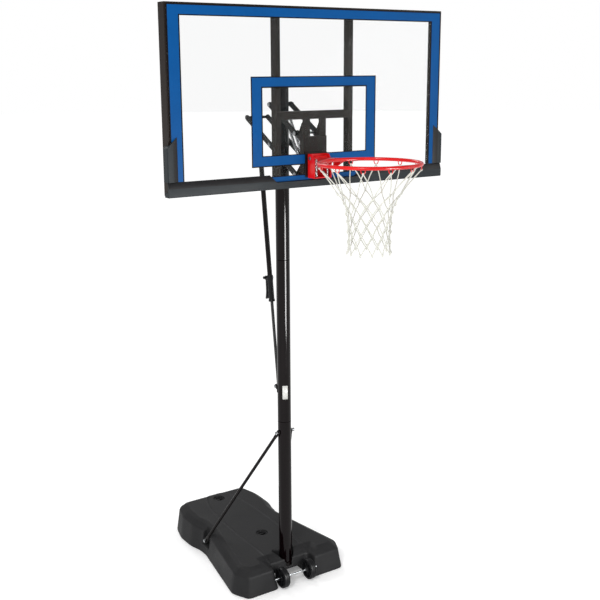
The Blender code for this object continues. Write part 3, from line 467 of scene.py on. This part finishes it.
# %% [markdown]
# ## The pole
# Three steel tubes fit into each other. Each is turned from a short profile with the small radius that
# a saw and a coat of paint leave at its ends. The arms' bolts pass through two cross tubes, welded in.

# %% Pole
POLE_RADIUS, POLE_WALL, POLE_EDGE = 0.035, 0.002, 0.0012
POLE_Y = (box_of("pole_lower")[0].y + box_of("pole_lower")[1].y) / 2
PIVOT_TUBE, PIVOT_BORE, PIVOT_EDGE, PIVOT_SPAN = 0.0105, 0.0065, 0.0008, 0.0557
BEAD, BEAD_PLACE = 0.0032, 0.0346
SWAGE, SWAGE_BELOW = ((0.0318, 0), (0.0326, 0.003), (0.0326, 0.006), (0.0318, 0.009)), 0.004
SEAM_GAP = 0.0008
LOWER_PIVOT, UPPER_PIVOT, FRONT_PIVOT = (
    (box_of(node)[0] + box_of(node)[1]) / 2
    for node in ("lower_pivot_bolt", "upper_pivot_bolt", "lower_front_bolt")
)


def pole_tube(foot, head):
    wall, edge, r = POLE_WALL, POLE_EDGE, POLE_RADIUS
    profile = [(r - wall, foot), (r - edge, foot), (r, foot + edge), (r, head - edge), (r - edge, head),
               (r - wall, head)]
    return turned(profile, (0, POLE_Y, 0), closed=True, steps=72)


def pivot_tube(pivot):
    """A cross tube with softened ends, for an arm's bolt."""
    edge, span = PIVOT_EDGE, PIVOT_SPAN
    tube = [(PIVOT_BORE, -span), (PIVOT_TUBE - edge, -span), (PIVOT_TUBE, edge - span),
            (PIVOT_TUBE, span - edge), (PIVOT_TUBE - edge, span), (PIVOT_BORE, span)]
    return turned(tube, (0, pivot.y, pivot.z), (1, 0, 0), 32, closed=True)


def weld_bead(side, pivot):
    bead = [(PIVOT_TUBE + BEAD * cos(a), BEAD * sin(a)) for a in [2 * pi * k / 8 for k in range(8)]]
    return turned(bead, (side * BEAD_PLACE, pivot.y, pivot.z), (1, 0, 0), 28, closed=True)


def swage(seam):
    """The inner sleeve that shows in a tube's mouth."""
    return turned(SWAGE, (0, POLE_Y, seam - SWAGE_BELOW), steps=48, closed=True)


seams = (box_of("pole_middle")[0].z, box_of("pole_upper")[0].z)
pole_top = box_of("pole_upper")[1].z
lower = pole_tube(box_of("pole_lower")[0].z, seams[0] - SEAM_GAP)
middle = pole_tube(seams[0], seams[1] - SEAM_GAP)
upper = pole_tube(seams[1], pole_top)
for pivot in (LOWER_PIVOT, UPPER_PIVOT):
    add(upper, pivot_tube(pivot))
    for side in (-1, 1):
        add(upper, weld_bead(side, pivot))
settle("pole_lower_tube", lower, POLE_COAT, "base", ("pole_lower",))
settle("pole_middle_tube", middle, POLE_COAT, "base", ("pole_middle",))
settle("pole_upper_tube", upper, POLE_COAT, "base", ("pole_upper",))
settle("pole_swages", add(swage(seams[0]), swage(seams[1])), POLE_COAT, "base")
print("pole joints at", [round(s, 3) for s in seams])

# %% [markdown]
# The cap is a moulded plug with a shallow dome and a skirt, and a blank vinyl label is wrapped part of
# the way round the tube's front.

# %% Pole cap and label
cap_low, cap_high = box_of("pole_top_cap")
cap_tall = cap_high.z - cap_low.z
dome = [(0, cap_tall), (0.012, cap_tall - 0.0006), (0.024, cap_tall - 0.003), (0.032, cap_tall - 0.0075),
        (0.0352, cap_tall - 0.012), (0.036, cap_tall - 0.017), (0.036, 0.001), (0.0352, 0), (0.0351, 0.002)]
settle("pole_dome", turned(dome, (0, POLE_Y, cap_low.z), steps=64), PLASTIC, "base",
       ("pole_top_cap",), crease=50)

LABEL_LOW, LABEL_HIGH, LABEL_TURN, LABEL_FACES = 1.021, 1.094, 46, -114
LABEL_LIFT, LABEL_THICK = 0.0003, 0.0002
vinyl = bmesh.new()
foot = vinyl.verts.new((POLE_RADIUS + LABEL_LIFT, 0, LABEL_LOW))
head = vinyl.verts.new((POLE_RADIUS + LABEL_LIFT, 0, LABEL_HIGH))
side_edge = vinyl.edges.new((foot, head))
bmesh.ops.spin(vinyl, geom=[foot, head, side_edge], cent=(0, 0, 0), axis=(0, 0, 1), dvec=(0, 0, 0),
               angle=radians(LABEL_TURN), steps=16, use_merge=False)
label_turn = Matrix.Rotation(radians(LABEL_FACES - LABEL_TURN / 2), 3, "Z")
bmesh.ops.rotate(vinyl, cent=(0, 0, 0), matrix=label_turn, verts=vinyl.verts)
bmesh.ops.translate(vinyl, vec=(0, POLE_Y, 0), verts=vinyl.verts)
label = settle("pole_label", vinyl, LABEL, "base")
thick = label.modifiers.new("vinyl", "SOLIDIFY")
thick.thickness = LABEL_THICK
thick.offset = 1
print("label", LABEL_TURN, "degrees round the pole")

# %% [markdown]
# ## Braces, lift foot and other folded steel
# These CAD pieces already have the right shape. Each is joined, and its edges get a small bevel.

# %% Steel and moulded pieces from the frame
for node in ("base_brace_left", "base_brace_right", "lift_foot_clamp", "spring_lug"):
    dressed(node, BLACK_COAT, "base", 0.0008)
for node in ("brace_foot_bolt_left", "brace_foot_bolt_right", "brace_pole_bolt", "wheel_axle",
             "lower_pivot_bolt", "upper_pivot_bolt", "lift_foot_bolt"):
    dressed(node, ZINC, "base", 0.0006)
for side in ("left", "right"):
    dressed("lower_arm_" + side, BLACK_COAT, "lower_arms", 0.0012)
    dressed("upper_arm_" + side, BLACK_COAT, "upper_arms", 0.0012)
    dressed("board_bracket_" + side, FRAME_COAT, "board", 0.0008)
    dressed("frame_strut_" + side, FRAME_COAT, "board", 0.0016)
    dressed("frame_" + side + "_rail", FRAME_COAT, "board", 0.0016)
    dressed("rim_bolt_" + side, ZINC, "board", 0.0005)
    pad = dressed("pad_side_" + side, PAD, "board", 0.0022)
    inward = 1 if side == "left" else -1
    # painted shade: the side pad's faces turned in towards the board take the darker black plastic
    painted_shade_faces(pad, PLASTIC, lambda normal, centre: normal.x * inward > 0.25 and normal.y < 0.1)
for node in ("frame_top_rail", "frame_bottom_rail", "frame_cross_bar", "rim_backing_plate"):
    dressed(node, FRAME_COAT, "board", 0.0014)
for node in ("lower_front_bolt", "upper_front_bolt", "breakaway_pin"):
    dressed(node, ZINC, "board", 0.0006)
bottom_pad = dressed("pad_bottom", PAD, "board", 0.0022)
# painted shade: the bottom pad's upward faces take the darker black plastic
painted_shade_faces(bottom_pad, PLASTIC, lambda normal, centre: normal.z > 0.25 and normal.y < 0.1)
dressed("rim_mount_plate", BLACK_COAT, "board", 0.0008)
dressed("rim_housing", RED_COAT, "board", 0.0010)
dressed("rim_yoke", RED_COAT, "rim", 0.0010)
dressed("lift_rod", DARK_STEEL, "lift_rod", 0.0006)
dressed("lift_tube", BLACK_COAT, "lift_tube", 0.0006)
dressed("lift_handle", PLASTIC, "lift_tube", 0.0012)
dressed("trigger_pin", PLASTIC, "lift_tube", 0.0006)
dressed("lift_trigger", PLASTIC, "lift_trigger", 0.0008)
dressed("backboard_sheet", CLEAR, "board", 0.0005)

# %% [markdown]
# ## Fill caps
# A screwed cap has a thick rim with grip notches and a bar across its dish for the fingers. The rim is
# turned, and every other strip of its edge is pushed in to make the notches.

# %% Fill caps
CAP_RADIUS, CAP_STEPS = 0.030, 72
NOTCH_EVERY, NOTCH_SHRINK = 3, 0.955


def notched(shape):
    """Pushes every third strip of a turned cap's edge inwards."""
    for corner in shape.verts:
        around = Vector((corner.co.x, corner.co.y))
        if around.length > CAP_RADIUS - 0.0006:
            strip_number = round(around.angle_signed(Vector((1, 0)), 0) / (2 * pi) * CAP_STEPS)
            if strip_number % NOTCH_EVERY == 0:
                corner.co.xy = around * NOTCH_SHRINK


for place in ("front", "rear"):
    low, high = box_of("fill_cap_" + place)
    centre = (low + high) / 2
    tall = high.z - low.z
    profile = [(0, 0.0045), (0.0185, 0.0045), (0.0205, 0.0060), (0.0215, tall - 0.0015), (0.023, tall),
               (0.0275, tall), (CAP_RADIUS - 0.0005, tall - 0.0018), (CAP_RADIUS, tall - 0.004),
               (CAP_RADIUS, 0.001), (CAP_RADIUS - 0.001, 0), (0, 0)]
    shape = turned(profile, (0, 0, 0), steps=CAP_STEPS)
    notched(shape)
    add(shape, block((-0.0205, -0.0028, 0.003), (0.0205, 0.0028, tall - 0.0012), 0.0012))
    bmesh.ops.translate(shape, vec=(centre.x, centre.y, low.z), verts=shape.verts)
    cap = "fill_cap_" + place
    settle("tank_cap_" + place, shape, PLASTIC, cap, (cap,))
print("two caps of", 2000 * CAP_RADIUS, "mm")

# %% [markdown]
# ## Wheels
# Each wheel is one hard plastic moulding: a hub, a thin web with ribs on both faces, and a rim with a
# grooved tread. The section is turned, and the ribs are small bevelled bars set round the hub.

# %% Wheels
RIBS = 8
section = [(0.0062, -0.0150), (0.0150, -0.0150), (0.0162, -0.0138), (0.0170, -0.0035), (0.0420, -0.0030),
           (0.0438, -0.0148), (0.0450, -0.0160), (0.0510, -0.0160), (0.0538, -0.0138), (0.0548, -0.0100),
           (0.0550, -0.0062), (0.0535, -0.0056), (0.0535, -0.0044), (0.0550, -0.0038), (0.0550, 0.0038),
           (0.0535, 0.0044), (0.0535, 0.0056), (0.0550, 0.0062), (0.0548, 0.0100), (0.0538, 0.0138),
           (0.0510, 0.0160), (0.0450, 0.0160), (0.0438, 0.0148), (0.0420, 0.0030), (0.0170, 0.0035),
           (0.0162, 0.0138), (0.0150, 0.0150), (0.0062, 0.0150)]
for side in ("left", "right"):
    low, high = box_of("wheel_" + side)
    centre = (low + high) / 2
    shape = turned(section, centre, (1, 0, 0), 96, closed=True)
    for number in range(RIBS):
        rib = block((-0.0100, -0.0014, 0.0155), (0.0100, 0.0014, 0.0442), 0.0006, 1)
        rib_turn = Matrix.Rotation(2 * pi * number / RIBS, 3, "X")
        bmesh.ops.rotate(rib, cent=(0, 0, 0), matrix=rib_turn, verts=rib.verts)
        bmesh.ops.translate(rib, vec=centre, verts=rib.verts)
        add(shape, rib)
    wheel = "wheel_" + side
    settle("ribbed_wheel_" + side, shape, PLASTIC, wheel, (wheel,))
print("wheels with", RIBS, "ribs")

# %% [markdown]
# ## Lines printed on the board
# The border and the target are printed in black and blue. Each is a thin frame of ink: a grid of three
# by three cells is moved to the frame's two rectangles, its middle cell is deleted, and the rest is
# extruded by the ink's thickness. A border may be wider at its sides than at its top, which the grid
# allows.

# %% Printed lines
SHEET_FACE = box_of("backboard_sheet")[0].y
INK, INK_DEPTH = 0.0003, 0.00027


def ink_frame(outer, inner):
    """outer and inner are (left, right, bottom, top) on the sheet's face."""
    shape = bmesh.new()
    bmesh.ops.create_grid(shape, x_segments=3, y_segments=3, size=1.5)
    across = (outer[0], inner[0], inner[1], outer[1])
    upward = (outer[2], inner[2], inner[3], outer[3])
    for corner in shape.verts:
        column, row = round(corner.co.x + 1.5), round(corner.co.y + 1.5)
        corner.co = (across[column], SHEET_FACE - INK, upward[row])
    middle = Vector(((inner[0] + inner[1]) / 2, SHEET_FACE - INK, (inner[2] + inner[3]) / 2))
    middle_cell = min(shape.faces, key=lambda face: (face.calc_center_median() - middle).length)
    bmesh.ops.delete(shape, geom=[middle_cell], context="FACES")
    grown = bmesh.ops.extrude_face_region(shape, geom=shape.faces[:])["geom"]
    raised = [part for part in grown if isinstance(part, bmesh.types.BMVert)]
    bmesh.ops.translate(shape, vec=(0, INK_DEPTH, 0), verts=raised)
    bmesh.ops.recalc_face_normals(shape, faces=shape.faces)
    return shape


def symmetric(half, bottom, top):
    return (-half, half, bottom, top)


BORDER = (symmetric(0.7495, 2.1635, 2.9548), symmetric(0.745, 2.1640, 2.9515),
          symmetric(0.695, 2.207, 2.914), symmetric(0.689, 2.211, 2.909))
TARGET = (symmetric(0.349, 2.256, 2.657), symmetric(0.343, 2.261, 2.652),
          symmetric(0.295, 2.302, 2.613), symmetric(0.289, 2.306, 2.607))
for title, lines in (("border", BORDER), ("target", TARGET)):
    settle("print_" + title + "_blue", ink_frame(lines[1], lines[2]), PRINT_BLUE, "board")
    edges = add(ink_frame(lines[0], lines[1]), ink_frame(lines[2], lines[3]))
    settle("print_" + title + "_black", edges, PRINT_BLACK, "board")
print("border and target printed at y", round(SHEET_FACE, 4))

# %% [markdown]
# ## The ring and its net hooks
# The ring is solid round bar, so a torus: a circle of bar spun about the hoop's middle. Twelve small
# wire loops are welded under it, and the net hangs in them.

# %% Ring and hooks
ring_low, ring_high = box_of("rim_ring")
RING_CENTRE = (ring_low + ring_high) / 2
RING_BAR = 0.008
RING_RADIUS = (ring_high.x - ring_low.x) / 2 - RING_BAR
HOOKS, HOOK_DROP, HOOK_HALF, HOOK_WIRE = 12, 0.019, 0.010, 0.0021
bar = [(RING_RADIUS + RING_BAR * cos(2 * pi * k / 20), RING_BAR * sin(2 * pi * k / 20)) for k in range(20)]
ring = turned(bar, RING_CENTRE, (0, 0, 1), 144, closed=True)


def on_ring(angle, radius, height):
    return Vector((RING_CENTRE.x + radius * cos(angle), RING_CENTRE.y + radius * sin(angle), height))


def hook_angle(number):
    return 2 * pi * (number + 0.5) / HOOKS


loops = []
for number in range(HOOKS):
    middle_angle = hook_angle(number)
    loop = []
    for k in range(13):
        a = pi * k / 12
        off = HOOK_HALF * cos(a) / RING_RADIUS
        drop = RING_BAR * 0.6 + HOOK_DROP * sin(a) ** 0.8
        loop.append(on_ring(middle_angle + off, RING_RADIUS - 0.001, RING_CENTRE.z - drop))
    loops.append(loop)
add(ring, wire(loops, HOOK_WIRE, 8))
settle("ring_with_hooks", ring, RED_COAT, "rim", ("rim_ring",), crease=50)
print("ring", round(2 * (RING_RADIUS - RING_BAR), 4), "m inside, hooks", HOOKS)

# %% [markdown]
# ## The net
# A hoop's net is one length of braided cord, knotted into diamonds in rings of twelve that grow
# narrower. Each strand is a short bent line on the net's bell shape from knot to knot, and every knot
# is a small lump. A little seeded unevenness keeps it from looking like wire mesh.

# %% Net
NET_TOP = RING_CENTRE.z - RING_BAR * 0.6 - HOOK_DROP
NET_BOTTOM = box_of("net")[0].z
CORD_RADIUS = 0.0025
ROWS = (0.0, 0.30, 0.41, 0.52, 0.63, 0.75, 0.87, 1.0)
BELL = ((0.0, 0.2235), (0.13, 0.186), (0.24, 0.155), (0.33, 0.131), (0.44, 0.108), (0.60, 0.099),
        (0.85, 0.094), (1.0, 0.098))
dice = random.Random(12)


def bell_radius(share):
    """The net's radius at a share of its length, in straight steps between measured places."""
    for (low_share, low_radius), (high_share, high_radius) in zip(BELL, BELL[1:]):
        if share <= high_share:
            part = (share - low_share) / (high_share - low_share)
            return low_radius + part * (high_radius - low_radius)
    return BELL[-1][1]


def on_net(turn, share):
    return on_ring(turn, bell_radius(share), NET_TOP + (NET_BOTTOM + CORD_RADIUS * 2 - NET_TOP) * share)


knots = []
for number, share in enumerate(ROWS):
    row = []
    for k in range(HOOKS):
        turn = hook_angle(k + 0.5 * (number % 2))
        wobble = (0 if number == 0 else 1) * dice.uniform(-0.022, 0.022)
        drop = (0 if number in (0, len(ROWS) - 1) else 1) * dice.uniform(-0.012, 0.012)
        row.append((turn + wobble, share + drop))
    knots.append(row)


def strand(start, stop, bow):
    """A line of points on the bell between two knots, bowed a little sideways and inwards."""
    points = []
    for k in range(7):
        t = k / 6
        turn = start[0] + (stop[0] - start[0]) * t + bow * sin(pi * t)
        share = start[1] + (stop[1] - start[1]) * t
        place = on_net(turn, share)
        inward = Vector((RING_CENTRE.x - place.x, RING_CENTRE.y - place.y, 0)).normalized()
        points.append(place + inward * 0.004 * sin(pi * t))
    return points


strands = []
for number in range(len(ROWS) - 1):
    for k in range(HOOKS):
        start = knots[number][k]
        for step in (0, 1):
            index = k + step - (1 if number % 2 == 0 else 0)
            turn, share = knots[number + 1][index % HOOKS]
            turn += 2 * pi * (index // HOOKS)
            strands.append(strand(start, (turn, share), dice.uniform(-0.012, 0.012)))
net = wire(strands, CORD_RADIUS, 8)
for number, row in enumerate(knots):
    for turn, share in row:
        lump = bmesh.new()
        bmesh.ops.create_icosphere(lump, subdivisions=2, radius=CORD_RADIUS * 1.9)
        tall = 1.7 if number else 1.2
        bmesh.ops.scale(lump, vec=(1, 1, tall), verts=lump.verts)
        bmesh.ops.translate(lump, vec=on_net(turn, share), verts=lump.verts)
        add(net, lump)
settle("cord_net", net, CORD, "rim", ("net",), crease=180)
print("net of", len(strands), "strands from", round(NET_TOP, 3), "to", round(NET_BOTTOM, 3))

# %% [markdown]
# ## Coil springs
# Two long springs carry most of the board's weight, and two short ones hold the rim up. A coil is a
# helix of wire, and its end turns into a hook round the bolt. The long pair grow shorter as the board
# rises, and a lug holds their upper ends.

# %% Coils
COIL_WIRE, COIL_STEPS = 0.0013, 14
LONG_RADIUS, LONG_TURNS, LONG_SPREAD = 0.0064, 58, 0.012
SHORT_RADIUS, SHORT_TURNS = 0.0056, 17
HOOK_LEAD, HOOK_NECK, HOOK_SIZE = 0.014, 0.003, 0.6


def coil(start, stop, radius, turns, hooks=True):
    start, line = Vector(start), Vector(stop) - Vector(start)
    matrix, length = aimed(start, line), line.length
    lead = HOOK_LEAD if hooks else 0.0

    def hook(height, degrees):
        bend = [(HOOK_SIZE * radius * cos(radians(d)), HOOK_SIZE * radius * sin(radians(d))) for d in degrees]
        return [matrix @ Vector((0, across, height + along)) for across, along in bend]

    points = []
    if hooks:
        points += hook(0, (215, 180, 145, 110)) + [matrix @ Vector((0, 0, lead - HOOK_NECK))]
    steps = turns * COIL_STEPS
    for k in range(steps + 1):
        a = 2 * pi * k / COIL_STEPS
        height = lead + (length - 2 * lead) * k / steps
        points.append(matrix @ Vector((radius * cos(a), radius * sin(a), height)))
    if hooks:
        points += [matrix @ Vector((0, 0, length - lead + HOOK_NECK))] + hook(length, (250, 215, 180, 145))
    return wire([points], COIL_WIRE, 6)


SPRING_ANCHOR = Vector((0, POLE_Y - 0.050, UPPER_PIVOT.z - 0.052))
for side, x in (("left", -LONG_SPREAD), ("right", LONG_SPREAD)):
    top = SPRING_ANCHOR + Vector((x, 0, 0))
    bottom = Vector((x, FRONT_PIVOT.y, FRONT_PIVOT.z))
    spring = settle("counter_coil_" + side, coil(top, bottom, LONG_RADIUS, LONG_TURNS), SPRING_WIRE,
                    "counter_springs", ("counter_spring_" + side,), crease=180)
    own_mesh(spring)
    low, high = box_of("rim_spring_" + side)
    x, y = (low.x + high.x) / 2, (low.y + high.y) / 2
    short = coil((x, y, low.z), (x, y, high.z), SHORT_RADIUS, SHORT_TURNS, hooks=False)
    settle("rim_coil_" + side, short, SPRING_WIRE, "board", ("rim_spring_" + side,),
           crease=180)
print("coils made")
